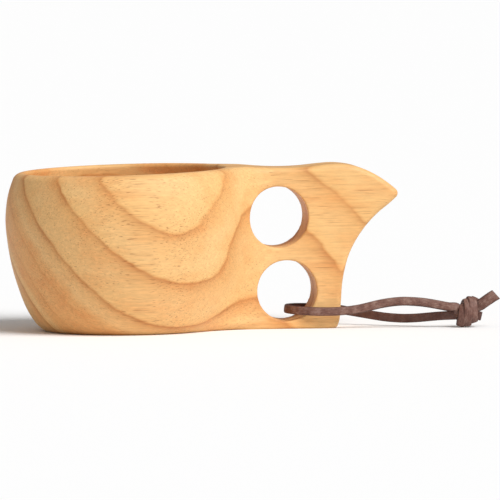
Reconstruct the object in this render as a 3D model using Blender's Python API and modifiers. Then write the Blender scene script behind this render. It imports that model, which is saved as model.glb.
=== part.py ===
"""Kuksa: a cup carved from one block, with a two-finger handle and a leather thong.

Metres, +Z up.  The origin is the middle of the bowl's foot on the table, +X points
along the handle, and the XZ plane is the cup's plane of symmetry.
"""

import math

import bmesh
import bpy
from mathutils import Matrix, Vector

MM = 0.001

# ---- the bowl: outer and inner profile, (radius, height) in mm, top to bottom ----
BOWL_TILT = math.radians(1.375)        # the bowl leans back, so its rim rises to the handle
BOWL_OUTER = [
    (0.0, 68.0), (42.9, 68.0), (44.9, 67.85), (45.9, 67.2), (46.8, 66.0), (48.2, 63.0),
    (49.7, 58.6), (50.6, 53.5), (51.0, 48.0), (50.8, 42.0), (50.1, 35.5), (49.0, 29.0),
    (47.4, 22.5), (45.4, 16.0), (42.8, 9.6), (40.2, 5.2), (37.6, 2.2), (35.6, 0.6),
    (34.2, -1.6), (34.0, -3.0), (0.0, -3.0),
]
BOWL_INNER = [
    (0.0, 72.0), (44.9, 72.0), (43.5, 68.4), (42.4, 67.3), (41.8, 65.6), (42.4, 61.0),
    (43.4, 55.0), (43.8, 48.0), (43.4, 41.0), (42.2, 34.0), (40.2, 28.0), (37.2, 22.6),
    (32.8, 17.6), (27.0, 13.4), (19.6, 10.2), (10.4, 8.4), (0.0, 7.8),
]
BOWL_STEPS = 72

# ---- the handle: one flat plate, (x, z) in mm, round its outline ----
HANDLE_THICK = 20.0
HANDLE_EDGE = 2.4                      # rounding of the outline's edges
HANDLE_OUTLINE = [
    (30.0, -6.0), (86.6, -6.0), (88.2, 1.8), (89.2, 8.0), (89.6, 14.0), (90.2, 20.3),
    (91.3, 25.6), (93.2, 31.6), (95.7, 36.6), (98.8, 41.3), (102.4, 45.6), (106.3, 49.3),
    (110.6, 52.7), (114.2, 56.8), (112.4, 60.2), (108.9, 62.4),
    (104.6, 64.9), (100.3, 66.9), (96.0, 68.5), (91.7, 69.3), (87.4, 69.6), (83.2, 69.4),
    (78.9, 69.0), (74.6, 68.5), (70.3, 68.3), (66.0, 68.2), (61.7, 68.3), (57.4, 68.5),
    (53.1, 68.8), (48.8, 69.1), (43.0, 69.1), (36.0, 67.0), (30.0, 62.0),
]

# ---- the hollow carved on each side where the bowl runs into the handle, in mm ----
NECK_RADIUS = 15.0
NECK_LEVELS = [-1.0, 4.0, 9.0, 15.0, 21.0, 27.0, 33.0, 39.0, 45.0, 51.0, 56.5, 61.5, 65.0, 67.4]
NECK_STEPS = 9

# ---- the two finger holes: centre (x, z), bore and flare at the faces, in mm ----
HOLES = {"upper": ((62.7, 47.5), 12.5), "lower": ((66.2, 16.2), 12.5)}
HOLE_FLARE = 1.0
HOLE_STEPS = 44

# ---- the thong: centre line of its loop in mm, from the knot round the web and back ----
THONG_WIDE = 3.8                       # a flat strip, on edge: its width is upright
THONG_THICK = 2.0
THONG_ROUND = 0.6
WEB_AXIS = (81.0, 0.0)                 # the thong swings about this upright line
BIGHT_RADIUS = 13.6
FRONT_RUN = [
    (136.0, -17.9, 8.3), (130.4, -17.2, 9.5), (126.2, -16.8, 10.3), (122.0, -16.3, 10.9),
    (115.9, -15.6, 11.3), (111.3, -15.1, 11.1), (106.8, -14.6, 10.5), (103.3, -14.3, 9.8),
    (99.9, -14.0, 9.0), (96.0, -13.8, 8.3), (92.0, -13.6, 7.7), (88.0, -13.6, 7.4),
    (84.5, -13.6, 7.3),
]
BACK_RUN = [
    (84.5, 13.6, 7.1), (88.0, 13.1, 6.8), (92.0, 11.9, 6.3), (96.0, 9.6, 5.7),
    (100.3, 6.8, 5.0), (104.7, 3.7, 4.3), (109.0, 0.8, 3.7), (112.8, -1.7, 3.4),
    (117.0, -4.4, 3.3), (121.8, -7.5, 3.6), (126.8, -10.7, 4.2), (131.1, -13.3, 4.7),
    (135.8, -15.6, 4.9),
]
KNOT_CENTRE = (142.2, -17.2, 6.15)
KNOT_SIZE = (10.4, 9.6, 12.0)
LONG_TAIL = [(147.4, -18.1, 9.4), (150.2, -18.3, 11.2), (153.4, -18.5, 12.5), (156.8, -18.6, 12.7)]
SHORT_TAIL = [(147.5, -19.6, 3.9), (149.0, -20.4, 3.2), (150.4, -21.0, 2.8)]


def clear_scene():
    for obj in list(bpy.data.objects):
        bpy.data.objects.remove(obj, do_unlink=True)


def collection(name, hidden=False):
    found = bpy.data.collections.new(name)
    bpy.context.scene.collection.children.link(found)
    found.hide_render = hidden
    return found


def material(name, colour, roughness, metallic=0.0):
    mat = bpy.data.materials.new(name)
    mat.use_nodes = True
    shader = mat.node_tree.nodes["Principled BSDF"]
    shader.inputs["Base Color"].default_value = (*colour, 1.0)
    shader.inputs["Roughness"].default_value = roughness
    shader.inputs["Metallic"].default_value = metallic
    return mat


def link(obj, into):
    into.objects.link(obj)
    return obj


def as_mesh(obj, into, weld=1e-6):
    """The evaluated shape of OBJ as a mesh object in world coordinates."""
    bpy.context.view_layer.update()
    seen = obj.evaluated_get(bpy.context.evaluated_depsgraph_get())
    mesh = bpy.data.meshes.new_from_object(seen)
    mesh.transform(obj.matrix_world)
    bm = bmesh.new()
    bm.from_mesh(mesh)
    bmesh.ops.remove_doubles(bm, verts=bm.verts, dist=weld)
    bmesh.ops.recalc_face_normals(bm, faces=bm.faces)
    bm.to_mesh(mesh)
    bm.free()
    name = obj.name
    bpy.data.objects.remove(obj, do_unlink=True)
    return link(bpy.data.objects.new(name, mesh), into)


def lathe(name, profile, steps, into):
    """A solid of revolution round Z from (radius, height) points in mm."""
    mesh = bpy.data.meshes.new(name)
    points = [(r * MM, 0.0, z * MM) for r, z in profile]
    mesh.from_pydata(points, [(i, i + 1) for i in range(len(points) - 1)], [])
    obj = link(bpy.data.objects.new(name, mesh), into)
    screw = obj.modifiers.new("lathe", "SCREW")
    screw.axis = "Z"
    screw.steps = screw.render_steps = steps
    screw.use_merge_vertices = True
    screw.merge_threshold = 1e-5
    return obj


def plate(name, outline, thick, edge, into):
    """A flat plate in the XZ plane, with its outline's edges rounded."""
    curve = bpy.data.curves.new(name, "CURVE")
    curve.dimensions = "2D"
    curve.fill_mode = "BOTH"
    curve.extrude = thick / 2 * MM
    line = curve.splines.new("POLY")
    line.points.add(len(outline) - 1)
    for point, (x, z) in zip(line.points, outline):
        point.co = (x * MM, z * MM, 0.0, 1.0)
    line.use_cyclic_u = True
    obj = link(bpy.data.objects.new(name, curve), into)
    obj.rotation_euler = (math.radians(90), 0.0, 0.0)
    obj = as_mesh(obj, into)
    bm = bmesh.new()                   # one flat face each side, so the edge rounds evenly
    bm.from_mesh(obj.data)
    bmesh.ops.dissolve_limit(bm, angle_limit=math.radians(0.5), verts=bm.verts, edges=bm.edges)
    bm.to_mesh(obj.data)
    bm.free()
    bevel = obj.modifiers.new("edge", "BEVEL")
    bevel.width = edge * MM
    bevel.segments = 3
    bevel.limit_method = "ANGLE"
    bevel.angle_limit = math.radians(60)
    return as_mesh(obj, into)


def block(name, centre, size, into):
    mesh = bpy.data.meshes.new(name)
    bm = bmesh.new()
    bmesh.ops.create_cube(bm, size=1.0)
    bm.to_mesh(mesh)
    bm.free()
    obj = link(bpy.data.objects.new(name, mesh), into)
    obj.scale = [s * MM for s in size]
    obj.location = [c * MM for c in centre]
    return as_mesh(obj, into)


def strip_section(into):
    """The thong's cross-section: a rounded rectangle, thick by wide."""
    curve = bpy.data.curves.new("strip_section", "CURVE")
    curve.dimensions = "2D"
    a, b, r = THONG_THICK / 2, THONG_WIDE / 2, THONG_ROUND
    corners = [(a, r - b), (a, b - r), (a - r, b), (r - a, b),
               (-a, b - r), (-a, r - b), (r - a, -b), (a - r, -b)]
    line = curve.splines.new("POLY")
    line.points.add(len(corners) - 1)
    for point, (x, y) in zip(line.points, corners):
        point.co = (x * MM, y * MM, 0.0, 1.0)
    line.use_cyclic_u = True
    return link(bpy.data.objects.new("strip_section", curve), into)


def strip(name, points, section, into):
    """A flat strip along POINTS (mm), standing on edge, with closed ends."""
    curve = bpy.data.curves.new(name, "CURVE")
    curve.dimensions = "3D"
    curve.twist_mode = "Z_UP"
    curve.bevel_mode = "OBJECT"
    curve.bevel_object = section
    curve.use_fill_caps = True
    line = curve.splines.new("POLY")
    line.points.add(len(points) - 1)
    for point, (x, y, z) in zip(line.points, points):
        point.co = (x * MM, y * MM, z * MM, 1.0)
    return as_mesh(link(bpy.data.objects.new(name, curve), into), into)


def boolean(obj, other, operation):
    change = obj.modifiers.new(other.name, "BOOLEAN")
    change.operation = operation
    change.solver = "EXACT"
    change.object = other
    other.display_type = "WIRE"


def bowl_radius(height):
    """The bowl's outer radius at a height, between the points of its profile (mm)."""
    side = BOWL_OUTER[1:-1]
    for (r1, z1), (r0, z0) in zip(side, side[1:]):
        if z0 <= height <= z1:
            return r0 + (r1 - r0) * (height - z0) / (z1 - z0)
    return side[0][0]


def neck(name, side, into):
    """One side's hollow: at each level an arc that touches the bowl and the plate."""
    half = HANDLE_THICK / 2 - 0.1
    rings = []
    for z in NECK_LEVELS:
        r = bowl_radius(z) - 0.1
        cx = math.sqrt((r + NECK_RADIUS) ** 2 - (half + NECK_RADIUS) ** 2)
        cy = half + NECK_RADIUS
        start = math.atan2(-cy, -cx)
        lean = -z * math.tan(BOWL_TILT)
        ring = [((r - 5.0) * math.cos(start + math.pi), (r - 5.0) * math.sin(start + math.pi))]
        for i in range(NECK_STEPS):
            angle = start + (-math.pi / 2 - start) * i / (NECK_STEPS - 1)
            ring.append((cx + NECK_RADIUS * math.cos(angle), cy + NECK_RADIUS * math.sin(angle)))
        ring += [(cx, half - 4.0), (ring[0][0] - 1.0, half - 4.0)]
        rings.append([((x + lean) * MM, side * y * MM, z * MM) for x, y in ring])
    count = len(rings[0])
    faces = [list(range(count)), [i + count * (len(rings) - 1) for i in range(count)]]
    for k in range(len(rings) - 1):
        for i in range(count):
            j = (i + 1) % count
            faces.append([k * count + i, k * count + j, (k + 1) * count + j, (k + 1) * count + i])
    mesh = bpy.data.meshes.new(name)
    mesh.from_pydata([p for ring in rings for p in ring], [], faces)
    return as_mesh(link(bpy.data.objects.new(name, mesh), into), into)


def build_cup(parts, cutters, mat):
    bowl = lathe("bowl_turned", BOWL_OUTER, BOWL_STEPS, cutters)
    bowl.rotation_euler = (0.0, -BOWL_TILT, 0.0)
    bowl = as_mesh(bowl, cutters)

    cup = plate("cup", HANDLE_OUTLINE, HANDLE_THICK, HANDLE_EDGE, parts)
    boolean(cup, bowl, "UNION")
    boolean(cup, neck("neck_left", 1, cutters), "UNION")
    boolean(cup, neck("neck_right", -1, cutters), "UNION")
    boolean(cup, block("table_cut", (30.0, 0.0, -10.0), (220.0, 160.0, 20.0), cutters),
            "DIFFERENCE")

    hollow = lathe("hollow", BOWL_INNER, BOWL_STEPS, cutters)
    hollow.rotation_euler = (0.0, -BOWL_TILT, 0.0)
    boolean(cup, as_mesh(hollow, cutters), "DIFFERENCE")

    half = HANDLE_THICK / 2
    for key, ((x, z), radius) in HOLES.items():
        profile = [
            (0.0, half + 1.5), (radius + HOLE_FLARE + 1.0, half + 1.5),
            (radius + HOLE_FLARE, half), (radius + 0.35, half - 0.7),
            (radius, half - 1.8), (radius, 1.8 - half), (radius + 0.35, 0.7 - half),
            (radius + HOLE_FLARE, -half), (radius + HOLE_FLARE + 1.0, -half - 1.5),
            (0.0, -half - 1.5),
        ]
        cutter = lathe(key + "_finger_hole", profile, HOLE_STEPS, cutters)
        cutter.rotation_euler = (math.radians(90), 0.0, 0.0)
        cutter.location = (x * MM, 0.0, z * MM)
        boolean(cup, as_mesh(cutter, cutters), "DIFFERENCE")

    cup = as_mesh(cup, parts)
    cup.name = "cup"
    finish(cup, mat)
    return cup


def finish(obj, mat):
    obj.data.materials.clear()
    obj.data.materials.append(mat)
    for face in obj.data.polygons:
        face.use_smooth = True
    obj.data.set_sharp_from_angle(angle=math.radians(35))


def bight():
    """The half ring that the thong makes through the hole, from the front to the back."""
    cx, cy = WEB_AXIS
    points = []
    count = 14
    for i in range(count + 1):
        angle = math.pi * (1.5 - i / count)
        height = 7.2 + 0.75 * math.sin(math.pi * i / count)
        points.append((cx + BIGHT_RADIUS * math.cos(angle),
                       cy + BIGHT_RADIUS * math.sin(angle), height))
    return points


def build_thong(parts, cutters, mat):
    section = strip_section(cutters)
    swing = link(bpy.data.objects.new("thong_axis", None), parts)
    swing.empty_display_size = 0.01
    swing.location = (WEB_AXIS[0] * MM, WEB_AXIS[1] * MM, 0.0)

    loop = strip("thong_loop", FRONT_RUN + bight() + BACK_RUN, section, parts)

    mesh = bpy.data.meshes.new("thong_knot")
    bm = bmesh.new()
    bmesh.ops.create_uvsphere(bm, u_segments=20, v_segments=12, radius=0.5)
    for vert in bm.verts:
        squeeze = 1.0 - 0.10 * math.cos(4 * math.pi * vert.co.x)
        vert.co = Vector((vert.co.x * KNOT_SIZE[0], vert.co.y * KNOT_SIZE[1] * squeeze,
                          vert.co.z * KNOT_SIZE[2])) * MM
    bm.to_mesh(mesh)
    bm.free()
    knot = link(bpy.data.objects.new("thong_knot", mesh), parts)
    knot.location = [c * MM for c in KNOT_CENTRE]
    knot = as_mesh(knot, parts)

    long_tail = strip("thong_tail_long", LONG_TAIL, section, parts)
    short_tail = strip("thong_tail_short", SHORT_TAIL, section, parts)
    for obj in (loop, knot, long_tail, short_tail):
        finish(obj, mat)
        obj.data.transform(Matrix.Translation(-swing.location))
        obj.parent = swing


def main():
    clear_scene()
    parts = collection("kuksa_cup")
    cutters = collection("kuksa_cutters", hidden=True)
    wood = material("oiled_wood", (0.78, 0.50, 0.25), 0.45)
    leather = material("brown_leather", (0.20, 0.095, 0.07), 0.62)
    build_cup(parts, cutters, wood)
    build_thong(parts, cutters, leather)


main()
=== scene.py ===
"""A carved wooden cup with its leather thong, on a pale studio floor.

Lengths in the sections are millimetres unless a name says otherwise.
"""

import math

import bpy
import numpy as np
from mathutils import Matrix, Vector


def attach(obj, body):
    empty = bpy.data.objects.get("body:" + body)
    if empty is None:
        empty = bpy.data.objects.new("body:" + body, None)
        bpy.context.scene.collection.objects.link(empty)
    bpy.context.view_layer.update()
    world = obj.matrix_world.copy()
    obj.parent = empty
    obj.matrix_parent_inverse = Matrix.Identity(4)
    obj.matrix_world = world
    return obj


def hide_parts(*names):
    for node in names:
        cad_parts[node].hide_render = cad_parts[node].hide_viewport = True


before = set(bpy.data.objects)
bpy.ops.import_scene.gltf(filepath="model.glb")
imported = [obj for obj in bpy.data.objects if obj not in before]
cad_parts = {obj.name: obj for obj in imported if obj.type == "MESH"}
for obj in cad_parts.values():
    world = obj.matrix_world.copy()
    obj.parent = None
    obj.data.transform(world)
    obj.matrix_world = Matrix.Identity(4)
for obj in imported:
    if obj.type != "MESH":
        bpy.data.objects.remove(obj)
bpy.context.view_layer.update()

# ---- Camera ---------------------------------------------------------------------------
# A long lens far back, level with the rim and a little to the bowl's side of square on,
# so that the cup is seen from the side with its near rim just above the far one.
AZIMUTH, ELEVATION, ROLL = math.radians(-7.8), math.radians(3.5), 0.007
CAMERA_AT = (-0.55855, -4.45498, 0.30809)                       # metres
back = Vector((math.sin(AZIMUTH) * math.cos(ELEVATION),
               -math.cos(AZIMUTH) * math.cos(ELEVATION), math.sin(ELEVATION)))
across = Vector((math.cos(AZIMUTH), math.sin(AZIMUTH), 0.0))
upward = back.cross(across)
right = across * math.cos(ROLL) - upward * math.sin(ROLL)
up = across * math.sin(ROLL) + upward * math.cos(ROLL)
camera_data = bpy.data.cameras.new("camera")
camera_data.sensor_width, camera_data.lens = 36.0, 765.05       # mm
camera_data.clip_end = 30.0
camera = bpy.data.objects.new("camera", camera_data)
bpy.context.scene.collection.objects.link(camera)
turn = Matrix((right, up, back)).transposed().to_4x4()
camera.matrix_world = Matrix.Translation(CAMERA_AT) @ turn
bpy.context.scene.camera = camera


# ---- Thong ----------------------------------------------------------------------------
# One strip cut by hand from brown leather, two millimetres thick, led through the lower
# hole and round the web of wood; both ends are wrapped into one knot and cut off.
def smooth_line(points, spacing):
    """A line through POINTS at an even SPACING: Catmull-Rom pieces, where each piece's
    direction at a point is half the step between that point's two neighbours."""
    p = np.array(points, float)
    padded = np.vstack([2 * p[0] - p[1], p, 2 * p[-1] - p[-2]])
    t = np.linspace(0.0, 1.0, 40, endpoint=False)[:, None]
    fine = []
    for a, b, c, d in zip(padded, padded[1:], padded[2:], padded[3:]):
        fine.append(b + t * (c - a) / 2 + t ** 2 * (a - 2.5 * b + 2 * c - d / 2)
                    + t ** 3 * (-a + 3 * b - 3 * c + d) / 2)
    fine = np.vstack(fine + [p[-1:]])
    along = np.r_[0.0, np.cumsum(np.linalg.norm(np.diff(fine[:, :3], axis=0), axis=1))]
    even = np.linspace(0.0, along[-1], int(along[-1] / spacing) + 1)
    return np.stack([np.interp(even, along, fine[:, k]) for k in range(p.shape[1])], 1)


def unit(vectors):
    return vectors / np.linalg.norm(vectors, axis=-1, keepdims=True)


# Each row: x, y, z of the strip's middle, then the way its outer face looks.
LONG_TAIL = [
    (154.2, -18.9, 13.8, 0.1, -1.0, 0.15), (152.5, -18.8, 12.8, 0.0, -1.0, 0.1),
    (150.7, -18.5, 11.6, -0.1, -1.0, 0.0), (149.0, -18.2, 10.4, -0.1, -1.0, 0.1),
    (147.2, -17.7, 9.2, 0.0, -1.0, 0.1), (145.0, -16.7, 8.7, 0.1, -0.6, 0.7),
]
FRONT_RUN = [
    (137.6, -18.2, 8.3, 0.0, -1.0, 0.25), (134.0, -17.9, 8.8, 0.0, -1.0, 0.22),
    (130.4, -17.2, 9.5, 0.0, -1.0, 0.22), (126.2, -16.8, 10.3, 0.0, -1.0, 0.25),
    (122.0, -16.3, 10.9, 0.0, -1.0, 0.28), (115.9, -15.6, 11.3, 0.0, -1.0, 0.28),
    (111.3, -15.1, 11.1, 0.0, -1.0, 0.28), (106.8, -14.6, 10.5, 0.0, -1.0, 0.26),
    (103.3, -14.3, 9.8, 0.0, -1.0, 0.22), (99.9, -14.0, 9.0, 0.0, -1.0, 0.2),
    (96.0, -13.8, 8.2, 0.0, -1.0, 0.16), (92.0, -13.7, 7.7, 0.0, -1.0, 0.12),
    (88.0, -13.7, 7.4, 0.0, -1.0, 0.08), (84.5, -13.7, 7.3, 0.0, -1.0, 0.05),
]
BACK_RUN = [
    (84.5, 13.7, 7.2, 0.0, 1.0, 0.0), (88.0, 13.2, 6.9, 0.2, 1.0, 0.0),
    (92.0, 11.9, 6.4, 0.35, 1.0, 0.0), (96.0, 9.6, 5.7, 0.5, 1.0, 0.0),
    (100.3, 6.8, 5.0, 0.5, 1.0, 0.0), (104.7, 3.7, 4.3, 0.5, 1.0, 0.0),
    (109.0, 0.8, 3.7, 0.5, 1.0, 0.05), (112.8, -1.7, 3.4, 0.5, 1.0, 0.05),
    (117.0, -4.4, 3.3, 0.5, 1.0, 0.05), (121.8, -7.5, 3.6, 0.5, 1.0, 0.0),
    (126.8, -10.7, 4.2, 0.5, 1.0, 0.0), (131.1, -13.3, 4.7, 0.4, 1.0, 0.0),
    (135.8, -15.9, 5.0, 0.3, 1.0, 0.0), (139.5, -17.3, 5.2, 0.1, 1.0, 0.0),
]
SHORT_TAIL = [
    (143.0, -18.4, 5.3, 0.0, 1.0, 0.0), (145.6, -19.7, 5.2, 0.1, 1.0, 0.2),
    (147.6, -20.4, 4.7, 0.2, 1.0, 0.3),
]
WEB, BIGHT = (81.0, 0.0), 13.75          # the web's middle, and the radius round it
KNOT, KNOT_HIGH, KNOT_DEEP = (142.35, -17.4, 6.6), 5.3, 4.0


def bight():
    """Half a ring round the web: angle from 270 down to 90 degrees at radius BIGHT."""
    a = math.pi * (1.5 - np.arange(1, 14) / 14)
    z = 7.25 + 0.62 * np.sin(1.5 * math.pi - a)
    flat = np.zeros_like(a)
    return np.stack([WEB[0] + BIGHT * np.cos(a), WEB[1] + BIGHT * np.sin(a), z,
                     np.cos(a), np.sin(a), flat + 0.1 * np.sin(1.5 * math.pi - a)], 1)


def wraps():
    """The knot's turns: an upright ellipse in Y and Z, run through down the back and up the
    front three times while its middle walks from the tail's side to the loop's side.  The
    turns spread towards the table, sit higher on the tail's side, and the last end is
    drawn into the core."""
    degrees = np.linspace(85.0, -1140.0, 60)
    a = np.radians(degrees)
    share = np.clip((85.0 - degrees) / 1075.0, 0.0, 1.0)
    side = 1.0 - 2.0 * share
    drawn_in = np.clip((-990.0 - degrees) / 110.0, 0.0, 1.0)
    full = (1.0 - 0.26 * side ** 2 + 0.03 * np.sin(2 * a + 1.0)) * (1.0 - 0.6 * drawn_in)
    x = KNOT[0] + 0.5 * np.sin(a) + 3.4 * side * (1.0 - 0.22 * np.sin(a)) + 0.3 * drawn_in
    ny, nz = np.cos(a), np.sin(a)
    return np.stack([x, KNOT[1] + KNOT_DEEP * full * ny,
                     KNOT[2] + 1.1 * side + KNOT_HIGH * full * nz,
                     0.35 * side, ny * KNOT_HIGH / 5, nz * KNOT_DEEP / 5], 1)


def length_of(places):
    return np.linalg.norm(np.diff(np.array(places)[:, :3], axis=0), axis=1).sum()


rows = np.vstack([LONG_TAIL, wraps(), FRONT_RUN, bight(), BACK_RUN, SHORT_TAIL])
line = smooth_line(rows, 0.45)
middle, facing = line[:, :3], unit(line[:, 3:])
along = np.r_[0.0, np.cumsum(np.linalg.norm(np.diff(middle, axis=0), axis=1))]
heading = unit(np.gradient(middle, axis=0))
widthwise = unit(np.cross(facing, heading))
outward = np.cross(heading, widthwise)
# Wider at the cut ends, a little narrower where the knot pulls it in.
into_knot = length_of(LONG_TAIL)
out_of_knot = into_knot + length_of(wraps())
width = np.interp(along, [0, into_knot - 2, into_knot + 3, out_of_knot - 3, out_of_knot + 3],
                  [4.9, 4.8, 3.9, 3.5, 3.7])
smoothing = np.hanning(13) / np.hanning(13).sum()
width = np.convolve(np.pad(width, 6, mode="edge"), smoothing, mode="valid")
# Cut by hand: the width and the thickness wander by a few hundredths.
rng = np.random.default_rng(4)
wander = np.convolve(rng.normal(size=len(along) + 60), np.hanning(61) / 30.0, mode="valid")
width *= 1.0 + 0.05 * wander[:len(along)]
THICK = 1.9
thick = THICK * (1.0 + 0.04 * np.roll(wander[:len(along)], 40))


def section(count, corner):
    """A rectangle two units each way with rounded corners, as a circle raised to a power:
    x and y are the cosine and sine, each taken to the power CORNER and kept in sign."""
    a = np.arange(count) / count * 2 * math.pi + math.pi / count
    c, s = np.cos(a), np.sin(a)
    return np.sign(c) * np.abs(c) ** corner, np.sign(s) * np.abs(s) ** corner


COUNT = 28                              # points round the section
thin, wide = section(COUNT, 0.42)
cupped = 0.10 * (1.0 - wide ** 2)[None, :]            # a hide strip lies slightly hollow
offset_out = (thin[None, :] * thick[:, None] / 2) + cupped
offset_wide = wide[None, :] * width[:, None] / 2
ring = (middle[:, None, :] + outward[:, None, :] * offset_out[..., None]
        + widthwise[:, None, :] * offset_wide[..., None])
# The long end is cut off a little slanting, its lower corner last.
slant = -0.5 * np.clip(1.0 - along / 3.2, 0.0, 1.0)[:, None] * wide[None, :]
ring = ring + heading[:, None, :] * slant[..., None]
rings = len(ring)
# Quads between neighbouring rings, and a fan from one middle point over each cut end.
points = np.vstack([ring.reshape(-1, 3), ring[0].mean(0), ring[-1].mean(0)])
start, at = np.meshgrid(np.arange(rings - 1) * COUNT, np.arange(COUNT), indexing="ij")
beside = (at + 1) % COUNT
quads = np.stack([start + at, start + beside, start + COUNT + beside, start + COUNT + at], -1)
quads = quads.reshape(-1, 4)
i = np.arange(COUNT)
j = (i + 1) % COUNT
first, last, last_ring = rings * COUNT, rings * COUNT + 1, (rings - 1) * COUNT
caps = np.vstack([np.stack([np.full(COUNT, first), j, i], 1),
                  np.stack([np.full(COUNT, last), last_ring + i, last_ring + j], 1)])


def mesh_object(name, points_mm, faces, smooth=True):
    """A mesh object from points in mm and a list of faces, each wound to look outward."""
    mesh = bpy.data.meshes.new(name)
    mesh.from_pydata((np.asarray(points_mm) * 0.001).tolist(), [], faces)
    mesh.update()
    if smooth:
        mesh.polygons.foreach_set("use_smooth", np.ones(len(mesh.polygons), bool))
    obj = bpy.data.objects.new(name, mesh)
    bpy.context.scene.collection.objects.link(obj)
    return obj


thong = mesh_object("leather_thong", points, quads.tolist() + caps.tolist())
# The pattern runs with the strip: U is centimetres along it, V goes across it.
uv = thong.data.uv_layers.new(name="strip")
corner_vertex = np.empty(len(thong.data.loops), int)
thong.data.loops.foreach_get("vertex_index", corner_vertex)
strip_u = np.r_[np.repeat(along, COUNT), along[0], along[-1]] / 10.0
strip_v = np.r_[np.tile(wide * 0.19, rings), 0.0, 0.0]
uv.data.foreach_set("uv", np.stack([strip_u, strip_v], 1)[corner_vertex].ravel())
# How far a point is on a cut edge or end, and how far on the flesh side.
on_edge = np.r_[np.tile(np.clip((np.abs(wide) - 0.80) / 0.15, 0.0, 1.0), rings), 1.0, 1.0]
on_edge[:COUNT] = on_edge[last_ring:last_ring + COUNT] = 1.0
on_flesh = np.r_[np.tile(np.clip(-thin * 2, 0, 1), rings), 0, 0]
for name, values in (("cut_edge", on_edge), ("flesh_side", on_flesh)):
    attribute = thong.data.attributes.new(name, "FLOAT", "POINT")
    attribute.data.foreach_set("value", values.astype(np.float32))


def linear(colour):
    """An sRGB hex colour as linear red, green, blue and alpha."""
    parts = [int(colour[i:i + 2], 16) / 255 for i in (1, 3, 5)]
    return [*(p / 12.92 if p <= 0.04045 else ((p + 0.055) / 1.055) ** 2.4 for p in parts), 1.0]


def new_material(name, **values):
    """An empty Principled material; VALUES name its inputs with _ for spaces."""
    mat = bpy.data.materials.new(name)
    mat.use_nodes = True
    for key, value in values.items():
        mat.node_tree.nodes["Principled BSDF"].inputs[key.replace("_", " ")].default_value = value
    return mat


def node(mat, kind, inputs=(), out=None, stops=(), **settings):
    """Adds a node and returns its output OUT, or else the first one in use.  SETTINGS are
    its properties; INPUTS its values or the sockets to link, in order or by name or number;
    STOPS a colour ramp's positions and linear colours."""
    made = mat.node_tree.nodes.new("ShaderNode" + kind)
    for key, value in settings.items():
        setattr(made, key, value)
    for key, value in inputs.items() if isinstance(inputs, dict) else enumerate(inputs):
        if isinstance(value, bpy.types.NodeSocket):
            mat.node_tree.links.new(value, made.inputs[key])
        else:
            made.inputs[key].default_value = value
    for _ in stops[2:]:
        made.color_ramp.elements.new(0.5)
    for element, (position, colour) in zip(made.color_ramp.elements if stops else (), stops):
        element.position, element.color = position, colour
    return made.outputs[out] if out else next(o for o in made.outputs if o.enabled)


# Vegetable-tanned leather, worn: the grain face is scuffed to a paler, greyer brown, and
# the cut edges and the crease of the grain stay dark.  Matt, with a faint waxy shine.
leather = new_material("brown_leather", Roughness=0.62, IOR=1.5)
# Per metre: worn blotches 4 mm long, and the hide's grain 0.7 mm, coarser than in truth.
BLOTCHES, GRAIN = 260.0, 1500.0
uv_map = node(leather, "UVMap", uv_map="strip")
place = node(leather, "TexCoord", out="Object")
blotch = node(leather, "TexNoise", {"Vector": place, "Scale": BLOTCHES, "Detail": 4.0,
                                    "Roughness": 0.6})
grain = node(leather, "TexVoronoi", {"Vector": place, "Scale": GRAIN, "Randomness": 1.0})
stretch = node(leather, "Mapping", {"Vector": uv_map, "Scale": (1.6, 9.0, 1.0)})
streak = node(leather, "TexNoise", {"Vector": stretch, "Scale": 3.0, "Detail": 5.0,
                                    "Roughness": 0.65})
both = node(leather, "Math", [blotch, streak], operation="ADD")
scuff = node(leather, "MapRange", [both, 0.75, 1.25])
face_colour = node(leather, "ValToRGB", [scuff], stops=[
    (0.0, linear("#512F26")), (0.45, linear("#6C473B")), (1.0, linear("#8C6F63"))])
edge_share = node(leather, "Attribute", out="Fac", attribute_name="cut_edge")
edge_colour = node(leather, "ValToRGB", [streak], stops=[
    (0.3, linear("#3E241E")), (0.7, linear("#5C3B33"))])
flesh_share = node(leather, "Attribute", out="Fac", attribute_name="flesh_side")
flesh = node(leather, "Math", [flesh_share, 0.6], operation="MULTIPLY")
skin = node(leather, "Mix", {0: flesh, 6: face_colour, 7: linear("#4F2A20")}, data_type="RGBA")
mixed = node(leather, "Mix", {0: edge_share, 6: skin, 7: edge_colour}, data_type="RGBA")
shader = leather.node_tree.nodes["Principled BSDF"]
leather.node_tree.links.new(mixed, shader.inputs["Base Color"])
relief = node(leather, "Math", [grain, blotch], operation="ADD")
bump = node(leather, "Bump", {"Height": relief, "Strength": 0.35, "Distance": 0.00025})
leather.node_tree.links.new(bump, shader.inputs["Normal"])
thong.data.materials.append(leather)
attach(thong, "thong")
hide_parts("thong_loop", "thong_knot", "thong_tail_long", "thong_tail_short")


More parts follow.
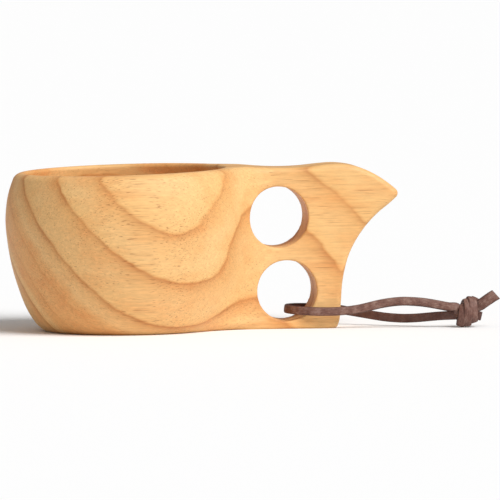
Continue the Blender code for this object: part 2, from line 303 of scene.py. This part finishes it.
# ---- Cup ------------------------------------------------------------------------------
# Bowl and handle are carved from one block of birch, hollowed with a crooked knife, sawn
# level underneath, bored for two fingers, sanded and oiled: no joint anywhere, all edges
# eased by hand.
def spline(points):
    """A natural cubic spline: returns a function giving its value and slope at any place."""
    t, v = (np.array(c, float) for c in zip(*sorted(points)))
    h = np.diff(t)
    bend = np.eye(len(t))
    rhs = np.zeros(len(t))
    for i in range(1, len(t) - 1):
        bend[i, i - 1:i + 2] = h[i - 1], 2 * (h[i - 1] + h[i]), h[i]
        rhs[i] = 6 * ((v[i + 1] - v[i]) / h[i] - (v[i] - v[i - 1]) / h[i - 1])
    m = np.linalg.solve(bend, rhs)
    s0 = (v[1] - v[0]) / h[0] - h[0] * (2 * m[0] + m[1]) / 6
    s1 = (v[-1] - v[-2]) / h[-1] + h[-1] * (m[-2] + 2 * m[-1]) / 6

    def at(q):
        i = np.clip(np.searchsorted(t, q) - 1, 0, len(h) - 1)
        a, b = q - t[i], t[i + 1] - q
        value = ((m[i] * b ** 3 + m[i + 1] * a ** 3) / (6 * h[i])
                 + (v[i] / h[i] - m[i] * h[i] / 6) * b
                 + (v[i + 1] / h[i] - m[i + 1] * h[i] / 6) * a)
        slope = ((m[i + 1] * a ** 2 - m[i] * b ** 2) / (2 * h[i])
                 + (v[i + 1] - v[i]) / h[i] - (m[i + 1] - m[i]) * h[i] / 6)
        low, high = q < t[0], q > t[-1]
        value = np.where(low, v[0] + s0 * (q - t[0]),
                         np.where(high, v[-1] + s1 * (q - t[-1]), value))
        return value, np.where(low, s0, np.where(high, s1, slope))
    return at


LEAN = math.radians(1.375)             # the bowl's own axis leans back
outer_radius = spline([
    (-4, 33.0), (0.3, 34.9), (2.2, 37.5), (5.2, 40.2), (9.6, 42.8), (16, 45.4), (22.5, 47.4),
    (29, 49.0), (35.5, 50.1), (42, 50.8), (48, 51.05), (53.5, 50.6), (58.6, 49.7),
    (63, 48.3), (66.5, 46.9), (70, 45.4)])
inner_radius = spline([
    (6, 31.0), (14, 36.5), (22, 39.6), (30, 41.7), (38, 43.0), (46, 43.7), (54, 43.6),
    (60, 43.0), (66, 42.1), (72, 41.2)])
top_height = spline([
    (-60, 66.56), (-40, 67.04), (-20, 67.52), (0, 68.0), (20, 68.48), (36, 68.86),
    (43, 69.05), (48.8, 69.05), (53.1, 68.75), (57.4, 68.45), (61.7, 68.25), (66, 68.2),
    (70.3, 68.3), (74.6, 68.55), (78.9, 69.0), (83.2, 69.4), (87.4, 69.6), (91.7, 69.3),
    (96, 68.5), (100.3, 66.95), (104.6, 64.8), (108.9, 62.0), (112.8, 58.9), (116.5, 55.4)])
end_place = spline([
    (-4, 86.6), (0, 87.6), (2.5, 88.5), (8, 89.2), (14, 89.6), (20.3, 90.2), (25.6, 91.3),
    (31.6, 93.2), (36.6, 95.7), (41.3, 98.8), (45.6, 102.4), (49.3, 106.3), (52.7, 110.6),
    (55.2, 113.4), (58, 116.6)])
FINGER_HOLES = [(62.5, 47.4, 12.95), (66.1, 16.2, 12.85)]


def shared(a, b, r):
    """Where two solids overlap, the edge between them rounded to radius r."""
    return np.minimum(-r, np.maximum(a, b)) + np.hypot(np.maximum(a + r, 0), np.maximum(b + r, 0))


def joined(a, b, r):
    """Two solids as one, with a hollow of radius r along the joint."""
    return np.maximum(r, np.minimum(a, b)) - np.hypot(np.maximum(r - a, 0), np.maximum(r - b, 0))


def cup_distance(x, y, z):
    """About how far (mm) a point is outside the wood, negative inside.  The bowl is its
    radius less the profile's radius at that height; the handle is a plate bounded by its
    outline; both are joined in a hollow, levelled top and bottom, then hollowed and bored."""
    cos, sin = math.cos(LEAN), math.sin(LEAN)
    u, w = cos * x + sin * z, cos * z - sin * x
    r = np.hypot(u, y)
    radius, slope = outer_radius(w)
    bowl = (r - radius) / np.hypot(1, slope)
    plate = np.maximum(np.abs(y) - 10.0, 20.0 - x)
    solid = joined(bowl, plate, 15.0)
    height, rise = top_height(x)
    place, run = end_place(z)
    outline = shared((z - height) / np.hypot(1, rise), (x - place) / np.hypot(1, run), 2.5)
    solid = shared(shared(solid, outline, 2.4), -z, 0.9)
    radius, slope = inner_radius(w)
    floor = (7.8 + r * r / 260.0 - w) / np.hypot(1, r / 130.0)
    hollow = shared((r - radius) / np.hypot(1, slope), floor, 24.0)
    solid = shared(solid, -hollow, 1.7)
    for cx, cz, bore in FINGER_HOLES:
        solid = shared(solid, bore - np.hypot(x - cx, z - cz), 0.6)
    return solid


def distance_at(points):
    return cup_distance(points[:, 0], points[:, 1], points[:, 2])


def slope_at(points, step=0.03):
    """The way the distance grows fastest, from differences along the three axes."""
    found = np.empty_like(points)
    for axis in range(3):
        move = np.zeros(3)
        move[axis] = step
        found[:, axis] = (distance_at(points + move) - distance_at(points - move)) / (2 * step)
    return found


def skin_of(low, high, cell):
    """The surface where the distance is zero, as quads on a grid of cells: one point in
    each cell that the surface crosses (the mean of its crossings on the cell's edges),
    and one quad round each grid edge that it crosses."""
    axes = [np.arange(a, b + cell, cell) for a, b in zip(low, high)]
    grid = np.stack(np.meshgrid(*axes, indexing="ij"), -1)
    shape = grid.shape[:3]
    value = distance_at(grid.reshape(-1, 3)).reshape(shape)
    inside = value < 0
    cells = tuple(s - 1 for s in shape)
    crossing_sum, crossings = np.zeros(cells + (3,)), np.zeros(cells)
    for axis in range(3):
        others = [k for k in range(3) if k != axis]
        for i in (0, 1):
            for j in (0, 1):
                start = [slice(None, -1)] * 3
                start[others[0]] = slice(i, shape[others[0]] - 1 + i)
                start[others[1]] = slice(j, shape[others[1]] - 1 + j)
                end = list(start)
                end[axis] = slice(1, None)
                start, end = tuple(start), tuple(end)
                cut = inside[start] != inside[end]
                a, b = value[start], value[end]
                share = np.where(cut, a / np.where(cut, a - b, 1.0), 0.0)[..., None]
                crossing_sum += np.where(cut[..., None],
                                        grid[start] + share * (grid[end] - grid[start]), 0.0)
                crossings += cut
    used = crossings > 0
    number = np.full(cells, -1)
    number[used] = np.arange(used.sum())
    found = crossing_sum[used] / crossings[used][:, None]
    faces = []
    for axis in range(3):
        a, b = (axis + 1) % 3, (axis + 2) % 3
        start = [slice(1, -1)] * 3
        start[axis] = slice(None, -1)
        end = list(start)
        end[axis] = slice(1, None)
        first_in, second_in = inside[tuple(start)], inside[tuple(end)]
        where = np.argwhere(first_in != second_in)
        leaving = first_in[tuple(where.T)]
        corner = where.copy()
        corner[:, a] += 1
        corner[:, b] += 1
        around = []
        for da, db in ((-1, -1), (0, -1), (0, 0), (-1, 0)):
            c = corner.copy()
            c[:, a] += da
            c[:, b] += db
            around.append(number[tuple(c.T)])
        quad = np.stack(around, 1)
        faces.append(np.where(leaving[:, None], quad, quad[:, ::-1]))
    return found, np.concatenate(faces)


cell = 0.86      # mm
cup_points, cup_faces = skin_of((-52.6, -52.6, -1.7), (115.9, 52.6, 71.3), cell)
for _ in range(4):                      # Newton's steps bring the points onto the surface
    slope = slope_at(cup_points)
    steep = np.maximum((slope ** 2).sum(1), 0.05)
    cup_points -= slope * np.clip(distance_at(cup_points), -cell, cell)[:, None] / steep[:, None]
cup = mesh_object("kuksa_wood", cup_points, cup_faces.tolist())
cup.data.normals_split_custom_set_from_vertices(unit(slope_at(cup_points)).tolist())

# Birch, oiled: honey-coloured and satin.  The block was split from the side of a log, so
# the growth rings are parts of wide cylinders about a line behind the cup, each ring pale
# where it starts and turning reddish to a thin darker line where the year's growth ends.
wood = new_material("oiled_birch", Roughness=0.52, IOR=1.48, Specular_IOR_Level=0.32)
place = node(wood, "TexCoord", out="Object")
mm = node(wood, "VectorMath", {0: place, "Scale": 1000.0}, operation="SCALE")


def grain_noise(along_fibre, across_fibre, detail, rough=0.5):
    """Noise whose grains are so many mm long along the fibre (X) and so many across it."""
    sizes = (1 / along_fibre, 1 / across_fibre, 1 / across_fibre)
    squeezed = node(wood, "VectorMath", [mm, sizes], operation="MULTIPLY")
    return node(wood, "TexNoise", {"Vector": squeezed, "Scale": 1.0, "Detail": detail,
                                   "Roughness": rough})


# The distance of each point from the log's heart, with the small waves that a real ring
# has.  The heart is a line behind and below the cup, at HEART_Y and HEART_Z where x is 0,
# which drifts and bows a little along X.
HEART_Y, HEART_Z = 160.15, -77.58
DRIFT_Y, DRIFT_Z, BOW = 0.508, 0.257, 0.00062
x_mm = node(wood, "SeparateXYZ", [mm], out="X")
z_mm = node(wood, "SeparateXYZ", [mm], out="Z")
x_squared = node(wood, "Math", [x_mm, x_mm], operation="MULTIPLY")
behind = node(wood, "VectorMath", [mm, (-DRIFT_Y, 1.0, 0.0)], operation="DOT_PRODUCT")
behind = node(wood, "Math", [x_squared, -BOW, behind], operation="MULTIPLY_ADD")
behind = node(wood, "Math", [behind, HEART_Y], operation="SUBTRACT")
above = node(wood, "VectorMath", [mm, (-DRIFT_Z, 0.0, 1.0)], operation="DOT_PRODUCT")
above = node(wood, "Math", [above, HEART_Z], operation="SUBTRACT")
from_heart = node(wood, "CombineXYZ", [behind, above])
radius = node(wood, "VectorMath", [from_heart], operation="LENGTH")
radius = node(wood, "Math", [grain_noise(60.0, 34.0, 2.0), 3.0, radius], operation="MULTIPLY_ADD")
radius = node(wood, "Math", [grain_noise(14.0, 5.0, 3.0), 2.0, radius], operation="MULTIPLY_ADD")
radius = node(wood, "Math", [radius, -2.5], operation="ADD")
# Where the handle grows out of the bowl the years sag low down and draw in higher up.
SAG, PINCH, smooth = 2.9, -2.6, {"interpolation_type": "SMOOTHSTEP"}
from_bowl = node(wood, "MapRange", [x_mm, 8.0, 42.0, 0.0, SAG], **smooth)
to_handle = node(wood, "MapRange", [x_mm, 58.0, 78.0, 1.0, 0.0], **smooth)
sag = node(wood, "Math", [from_bowl, to_handle], operation="MULTIPLY")
low_down = node(wood, "MapRange", [z_mm, 14.0, 42.0, 1.0, 0.0], **smooth)
radius = node(wood, "Math", [sag, low_down, radius], operation="MULTIPLY_ADD")
from_bowl = node(wood, "MapRange", [x_mm, 12.0, 34.0, 0.0, PINCH], **smooth)
to_handle = node(wood, "MapRange", [x_mm, 40.0, 54.0, 1.0, 0.0], **smooth)
pinch = node(wood, "Math", [from_bowl, to_handle], operation="MULTIPLY")
higher_up = node(wood, "MapRange", [z_mm, 24.0, 42.0, 0.0, 1.0], **smooth)
pinch = node(wood, "Math", [pinch, higher_up], operation="MULTIPLY")
under_rim = node(wood, "MapRange", [z_mm, 54.0, 68.0, 1.0, 0.2], **smooth)
radius = node(wood, "Math", [pinch, under_rim, radius], operation="MULTIPLY_ADD")
# Where the rings end, mm from the heart: the years were uneven.
RING_ENDS = [92.0, 101.0, 113.0, 122.0, 136.0, 150.0, 166.0, 183.5, 194.5, 204.5, 217.6,
             233.8, 245.8, 263.0, 280.0]
years, span = len(RING_ENDS) - 1, RING_ENDS[-1] - RING_ENDS[0]
steps = node(wood, "MapRange", [radius, RING_ENDS[0], RING_ENDS[-1], 0.0, 1.0])
steps = node(wood, "ValToRGB", [steps], stops=[
    ((end - RING_ENDS[0]) / span, [i / years] * 3 + [1.0]) for i, end in enumerate(RING_ENDS)])
year = node(wood, "Math", [steps, float(years)], operation="MULTIPLY")
year = node(wood, "Math", [year], operation="FRACT")
ring_colour = node(wood, "ValToRGB", [year], stops=[
    (0.0, linear("#C2834B")), (0.022, linear("#D79F61")), (0.06, linear("#E7B778")),
    (0.30, linear("#E9BC7F")), (0.55, linear("#E6B77B")), (0.80, linear("#DFAB6F")),
    (0.93, linear("#D0965B")), (0.985, linear("#BE7F49"))])
# Some years show only faintly; the line itself breaks up along the fibre.
plain = node(wood, "Mix", {0: 0.5, 6: linear("#E8B776"), 7: linear("#DFA765")}, data_type="RGBA")
strength = node(wood, "MapRange", [grain_noise(40.0, 16.0, 2.0), 0.32, 0.62, 0.55, 1.0])
faint_from = node(wood, "MapRange", [radius, 187.0, 190.0, 0.0, 1.0])
faint_to = node(wood, "MapRange", [radius, 207.0, 211.0, 1.0, 0.0])
faint = node(wood, "Math", [faint_from, faint_to], operation="MULTIPLY")
youngest = node(wood, "MapRange", [radius, 239.0, 245.0, 1.0, 0.72])
clear = node(wood, "Math", [faint, -0.6, youngest], operation="MULTIPLY_ADD")
strength = node(wood, "Math", [strength, clear], operation="MULTIPLY")
colour = node(wood, "Mix", {0: strength, 6: plain, 7: ring_colour}, data_type="RGBA")
# Warmer, redder patches drawn out along the fibre, most of all in the faint years.
warm = node(wood, "MapRange", [grain_noise(26.0, 7.0, 4.0, 0.6), 0.47, 0.72, 0.0, 0.36])
warm = node(wood, "Math", [faint, 0.32, warm], operation="MULTIPLY_ADD")
colour = node(wood, "Mix", {0: warm, 6: colour, 7: linear("#DC8E4D")}, data_type="RGBA")
# Fibres: fine light and dark streaks along X.
streak = node(wood, "MapRange", [grain_noise(22.0, 0.9, 5.0, 0.7), 0.30, 0.70, 0.87, 1.08])
speck = node(wood, "MapRange", [grain_noise(4.0, 0.8, 3.0, 0.6), 0.30, 0.70, 0.93, 1.065])
fibre = node(wood, "Math", [streak, speck], operation="MULTIPLY")
colour = node(wood, "VectorMath", {0: colour, "Scale": fibre}, operation="SCALE")
# Pores: dark dashes along the fibre, in truth a tenth of a millimetre across and drawn
# coarser so that they show; they crowd in the youngest years and in patches, and thin out
# along the handle.
crowd = node(wood, "MapRange", [grain_noise(30.0, 14.0, 1.0), 0.42, 0.62, 0.0, 0.05])
young = node(wood, "MapRange", [radius, 232.0, 250.0, 0.0, 0.022])
crowd = node(wood, "Math", [crowd, young], operation="ADD")
on_handle = node(wood, "MapRange", [x_mm, 40.0, 62.0, 0.0, -0.035])
crowd = node(wood, "Math", [crowd, on_handle], operation="ADD")
dash = node(wood, "Math", [grain_noise(11.0, 0.34, 1.0, 0.3), crowd], operation="ADD")
pores = node(wood, "MapRange", [dash, 0.675, 0.755, 0.0, 0.52])
colour = node(wood, "Mix", {0: pores, 6: colour, 7: linear("#86491F")}, data_type="RGBA")
shader = wood.node_tree.nodes["Principled BSDF"]
wood.node_tree.links.new(colour, shader.inputs["Base Color"])
hollows = node(wood, "Math", [pores, 0.6], operation="MULTIPLY")
relief = node(wood, "Math", [streak, hollows], operation="SUBTRACT")
bump = node(wood, "Bump", {"Height": relief, "Strength": 0.25, "Distance": 0.0003})
wood.node_tree.links.new(bump, shader.inputs["Normal"])
cup.data.materials.append(wood)
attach(cup, "body")
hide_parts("cup")


# ---- Floor and light ------------------------------------------------------------------
# A plain white sweep; one broad soft lamp high on the right in front, and a white room.
floor = mesh_object("floor", [(-6000, -6000, 0), (6000, -6000, 0), (6000, 6000, 0),
                              (-6000, 6000, 0)], [(0, 1, 2, 3)], smooth=False)
paper = new_material("white_paper", Base_Color=linear("#FBFBFB"), Roughness=0.9,
                     Specular_IOR_Level=0.1)
floor.data.materials.append(paper)

world = bpy.data.worlds.new("studio")
bpy.context.scene.world = world
world.use_nodes = True
room = world.node_tree.nodes["Background"]
room.inputs["Color"].default_value = (1.0, 1.0, 1.0, 1.0)
room.inputs["Strength"].default_value = 0.33

key = bpy.data.lights.new("key", "SUN")
key.energy, key.angle = 3.25, math.radians(38)
key_lamp = bpy.data.objects.new("key", key)
key_lamp.rotation_euler = Vector((-0.56, 0.70, -0.86)).to_track_quat("-Z", "Y").to_euler()
bpy.context.scene.collection.objects.link(key_lamp)

bpy.context.scene.view_settings.view_transform = "Standard"
